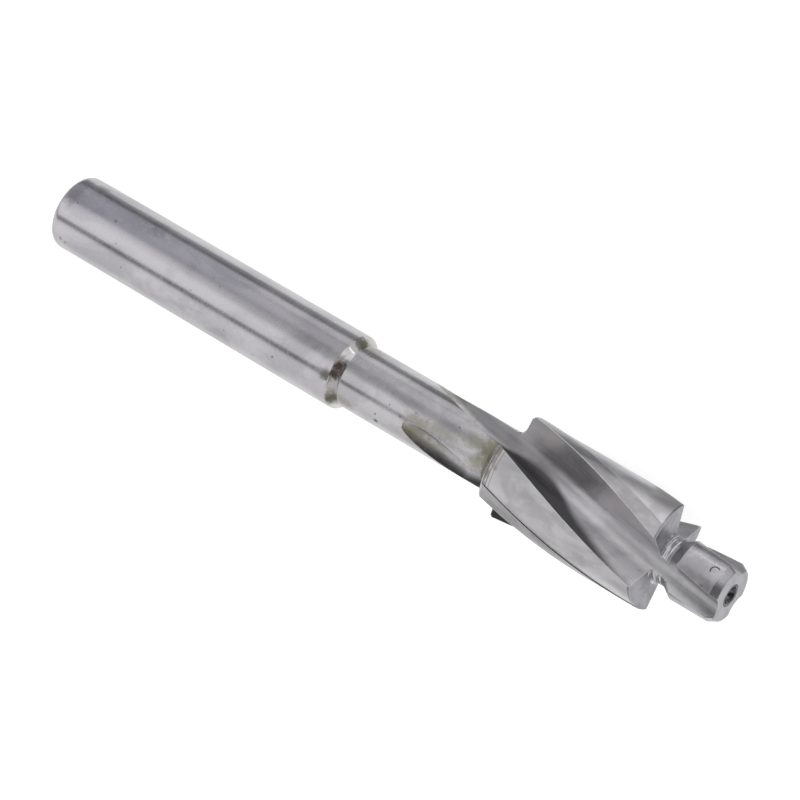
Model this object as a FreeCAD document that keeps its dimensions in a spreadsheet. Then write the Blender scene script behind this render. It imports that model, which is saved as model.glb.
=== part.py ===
# Counterbore cutter with a fixed pilot: one solid, turned, milled and ground from bar.
# Lengths are millimetres. The tool is made along X, shank end at X = 0, then laid on the floor.
import FreeCAD, Part

import math
import os

import Sketcher
from FreeCAD import Placement, Rotation, Vector

doc = FreeCAD.newDocument("CounterboreCutter")

# Driving dimensions
sizes = doc.addObject("Spreadsheet::Sheet", "Sizes")
driving = [
    ("shank_diameter", 8.0, "ground shank"),
    ("shank_length", 36.6, "shank end to the shoulder"),
    ("shank_end_radius", 0.8, "rounding of the shank end"),
    ("shoulder_length", 0.8, "taper from the shank to the neck"),
    ("shoulder_rounding", 0.35, "rounding of both shoulder corners"),
    ("neck_diameter", 6.7, "turned neck"),
    ("neck_length", 19.8, "shoulder to the back of the head, taper included"),
    ("neck_fillet", 0.9, "fillet between neck and head"),
    ("head_diameter", 11.0, "diameter over the cutting margins"),
    ("head_length", 18.5, "back of the head to the cutting plane"),
    ("head_back_chamfer", 0.3, "chamfer on the back of the lands"),
    ("pilot_diameter", 6.4, "pilot that runs in the drilled hole"),
    ("pilot_length", 7.2, "cutting plane to the tip"),
    ("pilot_chamfer_length", 0.8, "lead-in chamfer along the pilot"),
    ("pilot_chamfer_depth", 0.43, "lead-in chamfer across the pilot"),
    ("undercut_diameter", 4.9, "floor of the groove behind the pilot"),
    ("undercut_width", 1.2, "flat floor of that groove"),
    ("undercut_slope", 1.1, "length of the slope up to the pilot"),
    ("pilot_core_overlap", 3.0, "how far the turned core of the pilot reaches into the head"),
    ("centre_mouth", 1.95, "mouth of the centre hole"),
    ("centre_drill", 0.9, "small drill of the centre hole"),
    ("centre_depth", 2.2, "depth of the centre hole"),
    ("centre_angle", 60.0, "included angle of the centre hole"),
    ("flute_count", 3.0, "flutes and teeth"),
    ("helix_lead", 102.0, "lead of the right-hand helix"),
    ("core_diameter", 4.2, "solid core between the flutes"),
    ("flute_nose", 1.6, "nose radius of the disc that mills a flute"),
    ("flute_half_angle", 33.8, "half the opening of that disc's section"),
    ("flute_disc_radius", 58.0, "radius of that disc"),
    ("flute_reach", 3.4, "how far the full flute runs on into the neck"),
    ("margin_width", 1.45, "full-diameter margin behind the cutting edge"),
    ("land_relief", 0.1, "step down from the margin to the land"),
    ("end_relief_angle", 7.0, "clearance of the front faces"),
    ("tool_overrun", 3.0, "how far a milling cut runs past what it cuts"),
]
for row, (alias, number, note) in enumerate(driving, start=1):
    sizes.set("A%d" % row, note)
    sizes.set("B%d" % row, str(number))
    sizes.setAlias("B%d" % row, alias)
doc.recompute()

# Stations along the axis
shoulder = "Sizes.shank_length"
back_plane = "(Sizes.shank_length + Sizes.neck_length)"
flute_start = "(%s - Sizes.flute_reach)" % back_plane
cutting_plane = "(%s + Sizes.head_length)" % back_plane
tip = "(%s + Sizes.pilot_length)" % cutting_plane

# Radii
shank_radius = "Sizes.shank_diameter / 2"
neck_radius = "Sizes.neck_diameter / 2"
head_radius = "Sizes.head_diameter / 2"
land_radius = "(Sizes.head_diameter / 2 - Sizes.land_relief)"
clear_radius = "(Sizes.head_diameter / 2 + Sizes.tool_overrun)"
pilot_radius = "Sizes.pilot_diameter / 2"
undercut_radius = "Sizes.undercut_diameter / 2"
core_radius = "Sizes.core_diameter / 2"

# Angles
twist = "(360deg / Sizes.helix_lead)"
helix_angle = "atan(pi * Sizes.head_diameter / Sizes.helix_lead)"
flank = "(Sizes.flute_half_angle * 1deg)"

body = doc.addObject("PartDesign::Body", "Cutter")
body.Label = "counterbore_cutter"


def value(expression):
    """The number that an expression on the sheet stands for."""
    return float(sizes.evalExpression(expression))


def origin_item(role):
    for item in body.Origin.OriginFeatures:
        if item.Role == role:
            return item
    raise ValueError(role)


def new_sketch(name, plane):
    sketch = body.newObject("Sketcher::SketchObject", name)
    sketch.AttachmentSupport = (origin_item(plane), [""])
    sketch.MapMode = "FlatFace"
    return sketch


def bound(sketch, constraint, expression):
    """Adds a constraint whose size follows an expression."""
    index = sketch.addConstraint(constraint)
    sketch.setExpression("Constraints[%d]" % index, expression)


def place_point(sketch, line, end, x, y):
    """Ties one end of a line to two expressions."""
    for kind, axis, expression in (("DistanceX", -2, x), ("DistanceY", -1, y)):
        here = value(expression)
        if abs(here) < 1e-9:
            sketch.addConstraint(Sketcher.Constraint("PointOnObject", line, end, axis))
        else:
            bound(sketch, Sketcher.Constraint(kind, -1, 1, line, end, here), expression)


def closed_outline(sketch, corners):
    """A closed outline of straight lines through corners, each a pair of expressions."""
    spots = [Vector(value(x), value(y), 0) for x, y in corners]
    lines = []
    for start, end in zip(spots, spots[1:] + spots[:1]):
        lines.append(sketch.addGeometry(Part.LineSegment(start, end), False))
    for here, after in zip(lines, lines[1:] + lines[:1]):
        sketch.addConstraint(Sketcher.Constraint("Coincident", here, 2, after, 1))
    for line, (x, y) in zip(lines, corners):
        place_point(sketch, line, 1, x, y)


def turned(name, kind, corners):
    """A body or a hole of revolution about the tool's axis."""
    sketch = new_sketch(name + "Profile", "XY_Plane")
    closed_outline(sketch, corners)
    feature = body.newObject("PartDesign::" + kind, name)
    feature.Profile = sketch
    feature.ReferenceAxis = (sketch, ["H_Axis"])
    feature.Angle = 360
    doc.recompute()
    return feature


def ring_edges(shape, rings):
    """Names of the full circles of a turned shape at the given stations and radii."""
    names = []
    for number, edge in enumerate(shape.Edges, start=1):
        if not isinstance(edge.Curve, Part.Circle):
            continue
        for station, radius in rings:
            off_station = abs(edge.Curve.Center.x - value(station))
            off_radius = abs(edge.Curve.Radius - value(radius))
            if off_station < 1e-4 and off_radius < 1e-4:
                names.append("Edge%d" % number)
    return names


def dressed(name, kind, size_name, expression, base, rings):
    """A fillet or chamfer on full circles of the blank."""
    feature = body.newObject("PartDesign::" + kind, name)
    feature.Base = (base, ring_edges(base.Shape, rings))
    feature.setExpression(size_name, expression)
    doc.recompute()
    return feature


def helical_cut(name, sketch, height):
    """Sweeps a section forward along the right-hand helix."""
    feature = body.newObject("PartDesign::SubtractiveHelix", name)
    feature.Profile = sketch
    feature.ReferenceAxis = (origin_item("X_Axis"), [""])
    feature.Mode = "pitch-height-angle"
    feature.setExpression("Pitch", "Sizes.helix_lead")
    feature.setExpression("Height", height)
    doc.recompute()
    return feature


def round_the_tool(name, originals):
    """Repeats milling cuts once for each flute."""
    pattern = body.newObject("PartDesign::PolarPattern", name)
    pattern.Originals = originals
    pattern.Axis = (origin_item("X_Axis"), [""])
    pattern.Angle = 360
    pattern.setExpression("Occurrences", "Sizes.flute_count")
    body.Tip = pattern
    doc.recompute()
    return pattern


# Turned blank: shank, shoulder, neck and head
shoulder_end = shoulder + " + Sizes.shoulder_length"
blank = turned("Blank", "Revolution", [
    ("0", "0"),
    ("0", shank_radius),
    (shoulder, shank_radius),
    (shoulder_end, neck_radius),
    (back_plane, neck_radius),
    (back_plane, head_radius),
    (cutting_plane, head_radius),
    (cutting_plane, "0"),
])
rounded_end = dressed("ShankEnd", "Fillet", "Radius", "Sizes.shank_end_radius",
                      blank, [("0", shank_radius)])
rounded_shoulder = dressed("Shoulder", "Fillet", "Radius", "Sizes.shoulder_rounding",
                           rounded_end, [(shoulder, shank_radius), (shoulder_end, neck_radius)])
filleted_neck = dressed("NeckFillet", "Fillet", "Radius", "Sizes.neck_fillet",
                        rounded_shoulder, [(back_plane, neck_radius)])
chamfered_head = dressed("HeadBack", "Chamfer", "Size", "Sizes.head_back_chamfer",
                         filleted_neck, [(back_plane, head_radius)])

# Flute section, in the plane of a milling disc that is set over by the helix angle.
# Sketch X runs across the flute and sketch Y away from the axis.
nose_centre = "(%s + Sizes.flute_nose)" % core_radius
flank_apex = "(%s - Sizes.flute_nose / sin(%s))" % (nose_centre, flank)
nose_end = ("Sizes.flute_nose * cos(%s)" % flank,
            "%s - Sizes.flute_nose * sin(%s)" % (nose_centre, flank))
half_opening = "((%s - %s) * tan(%s))" % (clear_radius, flank_apex, flank)
disc_axis_height = "(%s + Sizes.flute_disc_radius)" % core_radius

section = new_sketch("FluteSection", "YZ_Plane")
section.AttachmentOffset = Placement(Vector(0, 0, 1), Rotation(Vector(0, 1, 0), -1))
section.setExpression(".AttachmentOffset.Base.z", flute_start)
section.setExpression(".AttachmentOffset.Rotation.Angle", "-" + helix_angle)
nose_circle = Part.Circle(Vector(0, value(nose_centre), 0), Vector(0, 0, 1), value("Sizes.flute_nose"))
flank_turn = math.radians(value("Sizes.flute_half_angle"))
nose = section.addGeometry(
    Part.ArcOfCircle(nose_circle, math.pi + flank_turn, 2 * math.pi - flank_turn), False)
section_corners = [
    Vector(value(nose_end[0]), value(nose_end[1]), 0),
    Vector(value(half_opening), value(clear_radius), 0),
    Vector(-value(half_opening), value(clear_radius), 0),
    Vector(-value(nose_end[0]), value(nose_end[1]), 0),
]
right_flank, top, left_flank = [
    section.addGeometry(Part.LineSegment(start, end), False)
    for start, end in zip(section_corners, section_corners[1:])
]
section.addConstraint(Sketcher.Constraint("Tangent", nose, 2, right_flank, 1))
section.addConstraint(Sketcher.Constraint("Coincident", right_flank, 2, top, 1))
section.addConstraint(Sketcher.Constraint("Coincident", top, 2, left_flank, 1))
section.addConstraint(Sketcher.Constraint("Tangent", left_flank, 2, nose, 1))
bound(section, Sketcher.Constraint("Radius", nose, value("Sizes.flute_nose")), "Sizes.flute_nose")
place_point(section, nose, 3, "0", nose_centre)
place_point(section, top, 1, half_opening, clear_radius)
place_point(section, left_flank, 1, "-" + half_opening, clear_radius)
disc_axis = section.addGeometry(
    Part.LineSegment(Vector(-value(half_opening), value(disc_axis_height), 0),
                     Vector(value(half_opening), value(disc_axis_height), 0)), True)
place_point(section, disc_axis, 1, "-" + half_opening, disc_axis_height)
place_point(section, disc_axis, 2, half_opening, disc_axis_height)
doc.recompute()

# Half the width of a flute at the head's full diameter, as an angle about the axis:
# where the straight flank of the tilted section meets the head, turned back along the helix
cot = "(1 / tan(%s))" % flank
spread = "(%s ^ 2 + cos(%s) ^ 2)" % (cot, helix_angle)
edge_across = "((sqrt((%s * %s) ^ 2 - %s * (%s ^ 2 - (%s) ^ 2)) - %s * %s) / %s)" % (
    flank_apex, cot, spread, flank_apex, head_radius, flank_apex, cot, spread)
edge_up = "(%s + %s * %s)" % (flank_apex, edge_across, cot)
half_flute = "(atan(%s * cos(%s) / %s) + %s * sin(%s) * %s)" % (
    edge_across, helix_angle, edge_up, edge_across, helix_angle, twist)
margin_angle = "(Sizes.margin_width / (%s) * 180deg / pi)" % head_radius

# Front faces: each tooth falls away from its cutting edge by the end relief
cutting_edge_angle = "(%s - (Sizes.flute_reach + Sizes.head_length) * %s)" % (half_flute, twist)
wedge = new_sketch("EndReliefSection", "XY_Plane")
wedge.AttachmentOffset = Placement(Vector(0, 0, 0), Rotation(Vector(1, 0, 0), 1))
wedge.setExpression(".AttachmentOffset.Rotation.Angle", "-" + cutting_edge_angle)
closed_outline(wedge, [
    (cutting_plane, "0"),
    (cutting_plane + " + Sizes.tool_overrun", "0"),
    (cutting_plane + " + Sizes.tool_overrun", head_radius),
    (cutting_plane + " - %s * tan(Sizes.end_relief_angle * 1deg)" % head_radius, head_radius),
])
doc.recompute()
end_relief = body.newObject("PartDesign::Pocket", "EndRelief")
end_relief.Profile = wedge
end_relief.Reversed = True
end_relief.setExpression("Length", clear_radius)
doc.recompute()
end_reliefs = round_the_tool("EndReliefs", [end_relief])

# Lands: behind each margin the land is milled down by the relief
land_span = "(360deg / Sizes.flute_count - %s - %s)" % (half_flute, margin_angle)
land = new_sketch("LandReliefSection", "YZ_Plane")
land.AttachmentOffset = Placement(Vector(0, 0, 1), Rotation(Vector(0, 0, 1), 1))
land.setExpression(".AttachmentOffset.Base.z", back_plane + " - Sizes.tool_overrun")
land.setExpression(".AttachmentOffset.Rotation.Angle", "-(%s + %s + (Sizes.tool_overrun - Sizes.flute_reach) * %s)" % (
    half_flute, margin_angle, twist))
span = math.radians(value(land_span))
inner, outer = value(land_radius), value(clear_radius)
floor_arc, rim_arc = [
    land.addGeometry(Part.ArcOfCircle(Part.Circle(Vector(0, 0, 0), Vector(0, 0, 1), radius),
                                      math.pi / 2 - span, math.pi / 2), False)
    for radius in (inner, outer)
]
step, heel = [
    land.addGeometry(Part.LineSegment(Vector(inner * math.sin(turn), inner * math.cos(turn), 0),
                                      Vector(outer * math.sin(turn), outer * math.cos(turn), 0)), False)
    for turn in (0, span)
]
for arc, end in ((floor_arc, 1), (rim_arc, 2)):
    land.addConstraint(Sketcher.Constraint("Coincident", arc, 3, -1, 1))
    land.addConstraint(Sketcher.Constraint("Coincident", arc, 2, step, end))
    land.addConstraint(Sketcher.Constraint("Coincident", arc, 1, heel, end))
place_point(land, step, 1, "0", land_radius)
place_point(land, step, 2, "0", clear_radius)
heel_x = "%s * sin(%s)" % (land_radius, land_span)
bound(land, Sketcher.Constraint("DistanceX", -1, 1, heel, 1, value(heel_x)), heel_x)
bound(land, Sketcher.Constraint("Angle", heel, math.pi / 2 - span), "90deg - " + land_span)
doc.recompute()
land_relief = helical_cut("LandRelief", land, "Sizes.head_length + 2 * Sizes.tool_overrun")
land_reliefs = round_the_tool("LandReliefs", [land_relief])

# Pilot with the undercut behind it
slope_end = cutting_plane + " + Sizes.undercut_width + Sizes.undercut_slope"
pilot = turned("Pilot", "Revolution", [
    (cutting_plane + " - Sizes.pilot_core_overlap", "0"),
    (cutting_plane + " - Sizes.pilot_core_overlap", undercut_radius),
    (cutting_plane + " + Sizes.undercut_width", undercut_radius),
    (slope_end, pilot_radius),
    (tip + " - Sizes.pilot_chamfer_length", pilot_radius),
    (tip, pilot_radius + " - Sizes.pilot_chamfer_depth"),
    (tip, "0"),
])

# Centre hole in the tip
mouth_radius = "Sizes.centre_mouth / 2"
drill_radius = "Sizes.centre_drill / 2"
cone_length = "(%s - %s) / tan(Sizes.centre_angle * 0.5deg)" % (mouth_radius, drill_radius)
drill_point = "%s / tan(Sizes.centre_angle * 1deg)" % drill_radius
centre_hole = turned("CentreHole", "Groove", [
    (tip, "0"),
    (tip, mouth_radius),
    (tip + " - " + cone_length, drill_radius),
    (tip + " - Sizes.centre_depth", drill_radius),
    (tip + " - Sizes.centre_depth - " + drill_point, "0"),
])

# Flutes: the helix runs from the neck out through the pilot, and the disc leaves its own
# curve in the neck behind it
flute_travel = "Sizes.flute_reach + Sizes.head_length + Sizes.pilot_length + 2 * Sizes.tool_overrun"
disc_exit_turn = 30
flute = helical_cut("Flute", section, flute_travel)
run_out = body.newObject("PartDesign::Groove", "FluteRunOut")
run_out.Profile = section
run_out.ReferenceAxis = (section, ["Axis0"])
run_out.Angle = disc_exit_turn
doc.recompute()
flutes = round_the_tool("Flutes", [flute, run_out])

# Every feature is sound, and every cut takes something away
cuts = [end_relief, end_reliefs, land_relief, land_reliefs, centre_hole, flute, run_out, flutes]
least_cut = 0.01
stage = None
for item in body.Group:
    if {"Invalid", "Error"} & set(item.State) or item.Shape.isNull() or not item.Shape.isValid():
        raise RuntimeError(item.Name + " has failed")
    if item.isDerivedFrom("Sketcher::SketchObject"):
        continue
    if item in cuts and stage.Shape.Volume - item.Shape.Volume < least_cut:
        raise RuntimeError(item.Name + " cuts nothing")
    stage = item

# Rest: the tool lies on the rim of its shank end and on the head. Of all rolls within one tooth
# on the chosen side, it settles in the one that leans the axis least.
chosen_side = 90
mesh_fineness = 0.02
head_points = [point for point in body.Shape.tessellate(mesh_fineness)[0] if point.x > value(back_plane)]
rim_station, rim_drop = value("Sizes.shank_end_radius"), value(shank_radius)


def lean(side):
    """Slope of the axis with the given side down, in degrees from flute 1 about the axis."""
    down = Vector(0, math.sin(math.radians(side)), math.cos(math.radians(side)))
    return max((point.dot(down) - rim_drop) / (point.x - rim_station) for point in head_points)


def least_lean(middle, reach, steps):
    sides = [middle + reach * step / steps for step in range(-steps, steps + 1)]
    return min(sides, key=lean)


half_pitch = 180 / value("Sizes.flute_count")
rest_side = least_lean(least_lean(chosen_side, half_pitch, 60), 1, 50)
rest_lean = math.degrees(math.atan(lean(rest_side)))
lying = Rotation(Vector(0, 1, 0), -rest_lean).multiply(Rotation(Vector(1, 0, 0), rest_side - 180))
body.Placement = Placement(Vector(0, 0, 0), lying)
doc.recompute()
box = body.Shape.optimalBoundingBox()
body.Placement = Placement(Vector(-box.Center.x, -box.Center.y, -box.ZMin), lying)
doc.recompute()
if not body.Shape.isValid() or len(body.Shape.Solids) != 1:
    raise RuntimeError("the cutter isn't one sound solid")

os.makedirs("parts", exist_ok=True)
body.Shape.exportStep("parts/counterbore_cutter.step")
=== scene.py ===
import math

import bpy
import numpy as np
from mathutils import Matrix, Vector


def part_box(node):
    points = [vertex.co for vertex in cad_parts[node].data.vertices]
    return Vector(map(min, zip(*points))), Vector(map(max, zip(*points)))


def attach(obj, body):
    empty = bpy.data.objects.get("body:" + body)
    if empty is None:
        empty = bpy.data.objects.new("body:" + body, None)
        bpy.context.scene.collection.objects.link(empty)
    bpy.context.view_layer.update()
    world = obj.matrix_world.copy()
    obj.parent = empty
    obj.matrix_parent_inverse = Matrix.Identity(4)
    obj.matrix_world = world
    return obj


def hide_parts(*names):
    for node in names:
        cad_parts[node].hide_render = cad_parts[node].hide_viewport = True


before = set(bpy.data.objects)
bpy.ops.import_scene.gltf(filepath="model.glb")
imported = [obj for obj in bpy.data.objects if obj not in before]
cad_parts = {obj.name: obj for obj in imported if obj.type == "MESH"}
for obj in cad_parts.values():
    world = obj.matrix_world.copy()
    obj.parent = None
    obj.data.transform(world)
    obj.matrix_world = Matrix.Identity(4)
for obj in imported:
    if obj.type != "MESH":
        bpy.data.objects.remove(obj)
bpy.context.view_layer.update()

nodeName = "counterbore_cutter"
mm = 0.001      # in metres, as Blender counts

# Sizes in millimetres and degrees; the tool is drawn along X from its shank end
tool = {
    "shankRadius": 4.0,
    "shankLength": 36.6,
    "shankEndRadius": 0.8,
    "shoulderLength": 0.8,
    "shoulderRounding": 0.35,
    "neckRadius": 3.35,
    "neckLength": 19.8,
    "neckFillet": 0.9,
    "headRadius": 5.5,
    "headLength": 18.5,
    "headBackChamfer": 0.3,
    "marginWidth": 1.45,
    "landRelief": 0.1,
    "stepWidth": 0.9,      # degrees round the land
    "endRelief": 7.0,
    "pilotRadius": 3.2,
    "pilotLength": 7.2,
    "pilotChamferLength": 0.8,
    "pilotChamferDepth": 0.43,
    "undercutRadius": 2.45,
    "undercutWidth": 1.2,
    "undercutSlope": 1.1,
    "centreMouthRadius": 0.975,
    "centreDrillRadius": 0.45,
    "centreDepth": 2.2,
    "centreAngle": 60.0,
    "drillTip": 0.26,
}

flute = {
    "teeth": 3,
    "lead": 102.0,
    "coreRadius": 2.1,
    "noseRadius": 1.6,
    "halfAngle": 33.8,
    "discRadius": 58.0,
    "reach": 3.4,          # full flute behind the back of the head
    "twistReach": 8.0,     # how far behind that the mesh still twists
    "nearRadius": 0.5,     # the search for the disc's surface goes from here
    "farRadius": 8.5,      # to here, where its flanks end
    "discUpTo": 1.2,       # past the start of the helix the disc's run-out ends by here
    "discSpan": 75,        # degrees on both sides that the disc can reach
    "snapUpTo": 0.6,       # columns follow the run-out's edge up to here
    "runOutDrift": -6.0,   # degrees round the axis for each mm of run-out
}

rest = {
    "side": 91.44,         # degrees from flute 1 that lie down
    "lean": 1.2528,        # rise of the axis towards the head
}

fineness = {
    "noseColumns": 17,
    "flankColumns": 17,
    "marginColumns": 12,
    "landColumns": 34,
    "edgeGap": 0.45,       # a column closer to an edge than this share of the spacing is left out
    "runOutRow": 0.12,
    "headRow": 0.26,
    "pilotRow": 0.26,
    "plainRow": 1.5,
    "guardRow": 0.04,
    "arcRows": 6,
    "rows": {
        "shankEnd": 5, "neck": 5, "headBack": 4, "backChamfer": 3, "frontFace": 9, "undercut": 6,
        "slope": 6, "pilotChamfer": 5, "tipFace": 7, "centreCone": 5, "centreDrill": 4, "drillTip": 2},
    "searchReach": 12.0,   # across the flute, for the place of a radius
    "searchHalvings": 50,
    "discHalvings": 30,
    "tableReach": 9.0,     # across the flute, for the table of its section
    "tableSteps": 3601,
    "edgeSteps": 60,       # places tried between two columns for the run-out's edge
    "reliefRounds": 8,     # times that a front face's place is bettered
    "tinyLength": 1e-6,
    "tinyAngle": 1e-4,
    "tinyCut": 2e-4,
    "mergeDistance": 0.0004,
    "sharpAngle": 17.0,
}

backPlane = tool["shankLength"] + tool["neckLength"]
fluteStart = backPlane - flute["reach"]
cuttingPlane = backPlane + tool["headLength"]
tipPlane = cuttingPlane + tool["pilotLength"]
twistPerMm = 360 / flute["lead"]
helixAngle = math.atan(2 * math.pi * tool["headRadius"] / flute["lead"])
pitchAngle = 360 / flute["teeth"]


def sectionHeight(across):
    # height of the milled section above the axis, at a distance across the flute
    slope = math.radians(flute["halfAngle"])
    nose, core = flute["noseRadius"], flute["coreRadius"]
    noseEnd = nose * math.cos(slope)
    across = np.abs(across)
    onNose = core + nose - np.sqrt(np.maximum(nose ** 2 - np.minimum(across, noseEnd) ** 2, 0))
    onFlank = core + nose - nose * math.sin(slope) + (across - noseEnd) / math.tan(slope)
    return np.where(across < noseEnd, onNose, onFlank)


def sectionPolar(across):
    # the same section, turned back along the helix: angle round the axis, and radius
    flat = np.asarray(across) * math.cos(helixAngle)
    up = sectionHeight(across)
    turn = np.asarray(across) * math.sin(helixAngle) * twistPerMm
    return np.degrees(np.arctan2(flat, up)) + turn, np.hypot(flat, up)


def acrossAtRadius(radius):
    # distance across the flute at which its surface has this radius, by halving
    low, high = 0.0, fineness["searchReach"]
    for _ in range(fineness["searchHalvings"]):
        middle = (low + high) / 2
        low, high = (middle, high) if sectionPolar(middle)[1] < radius else (low, middle)
    return low


def layColumns():
    # angles of the mesh columns of one tooth space, from heel to heel
    nose, slope = flute["noseRadius"], math.radians(flute["halfAngle"])
    noseEnd = nose * math.cos(slope)
    landRadius = tool["headRadius"] - tool["landRelief"]
    edgeRadii = [tool["undercutRadius"], tool["pilotRadius"], tool["neckRadius"], landRadius]
    flankEnd = acrossAtRadius(tool["headRadius"])
    heelEnd = acrossAtRadius(landRadius)
    nosePart = noseEnd * np.sin(np.linspace(0, math.pi / 2, fineness["noseColumns"] // 2 + 1))
    flank = np.linspace(noseEnd, flankEnd, fineness["flankColumns"])
    edges = [acrossAtRadius(radius) for radius in edgeRadii]
    gap = (flankEnd - noseEnd) / fineness["flankColumns"] * fineness["edgeGap"]
    inner = [place for place in np.concatenate([nosePart, flank])
             if all(abs(place - edge) > gap for edge in edges)]
    side = np.unique(np.round(np.concatenate([inner, edges, [0, flankEnd]]), 6))
    heelSide = side[(side > 0) & (side <= heelEnd + fineness["tinyLength"])]
    across = np.concatenate([-heelSide[::-1], side])
    angles = sectionPolar(across)[0]
    margin = math.degrees(tool["marginWidth"] / tool["headRadius"])
    leading = angles[-1]
    marginEnd = leading + margin
    heel = pitchAngle + angles[0]
    marginPart = np.linspace(leading, marginEnd, fineness["marginColumns"])[1:]
    landPart = np.linspace(marginEnd, heel, fineness["landColumns"])
    landPart[0] += tool["stepWidth"]
    return np.concatenate([angles, marginPart, landPart]), leading, marginEnd


columns, leadingEdge, marginEnd = layColumns()
acrossTable = np.linspace(-fineness["tableReach"], fineness["tableReach"], fineness["tableSteps"])
helixTable = sectionPolar(acrossTable)


def helixRadius(angles):
    # radius of the flute's surface where it follows the helix
    far = flute["farRadius"]
    inside = np.interp(angles, *helixTable, left=far, right=far)
    nextOne = np.interp(np.asarray(angles) - pitchAngle, *helixTable, left=far, right=far)
    return np.minimum(inside, nextOne)


def discInside(station, angle, radius):
    # how deep a point lies in the milling disc at its last place, and how far behind that place
    turned = np.radians(angle)
    lateral, up = radius * np.sin(turned), radius * np.cos(turned)
    behind = -(station - fluteStart)
    along = behind * math.cos(helixAngle) + lateral * math.sin(helixAngle)
    across = -behind * math.sin(helixAngle) + lateral * math.cos(helixAngle)
    fromAxle = np.hypot(along, flute["coreRadius"] + flute["discRadius"] - up)
    rim = flute["discRadius"] - (sectionHeight(across) - flute["coreRadius"])
    return rim - fromAxle, along


def discRadiusAt(station, angle):
    # radius at which the disc's run-out begins, by halving
    low = np.full(np.shape(angle), flute["nearRadius"])
    high = np.full(np.shape(angle), flute["farRadius"])
    for _ in range(fineness["discHalvings"]):
        middle = (low + high) / 2
        cut = discInside(station, angle, middle)[0] > 0
        low, high = np.where(cut, low, middle), np.where(cut, middle, high)
    return high


def twistAt(station):
    return twistPerMm * np.maximum(station - fluteStart, -flute["twistReach"])


def fluteRadius(station, angles):
    # flute surface at a station, for angles counted along the twisted mesh
    onHelix = helixRadius(angles)
    if station > fluteStart + flute["discUpTo"]:
        return onHelix
    far = flute["farRadius"]
    nearest = np.full(np.shape(angles), far)
    for shift in (0, pitchAngle, -pitchAngle):
        turned = np.asarray(angles) - shift - twistAt(station)
        onDisc = discRadiusAt(station, turned)
        behind = discInside(station, turned, np.minimum(onHelix, onDisc))[1]
        surface = np.where(behind >= 0, onDisc, onHelix)
        nearest = np.minimum(nearest, np.where(np.abs(turned) < flute["discSpan"], surface, far))
    return nearest


def arcRows(centreX, centreR, radius, start, end, zone):
    rows = []
    for turn in np.linspace(math.radians(start), math.radians(end), fineness["arcRows"] + 1):
        rows.append((centreX + radius * math.cos(turn), centreR + radius * math.sin(turn), zone))
    return rows


def lineRows(x0, r0, x1, r1, count, zone):
    return [(x0 + (x1 - x0) * k / count, r0 + (r1 - r0) * k / count, zone) for k in range(count + 1)]


def guardedRows(x0, x1, radius, count, zone):
    # a narrow row at both ends keeps the shading of the long faces straight next to a rounding
    guard = fineness["guardRow"]
    rows = lineRows(x0 + guard, radius, x1 - guard, radius, count, zone)
    return [(x0, radius, zone), *rows, (x1, radius, zone)]


zones = ["shankEnd", "shank", "shoulder", "neck", "headBack", "land", "margin", "step", "flute",
         "frontFace", "undercut", "slope", "pilot", "pilotChamfer", "tipFace", "centreHole"]


def withoutDoubles(rows):
    # where two stretches meet, one row stays and belongs to the second
    kept = []
    for row in rows:
        if kept and math.dist(kept[-1][:2], row[:2]) < fineness["tinyLength"]:
            kept[-1] = (*kept[-1][:2], row[2])
        else:
            kept.append(row)
    return kept


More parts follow.
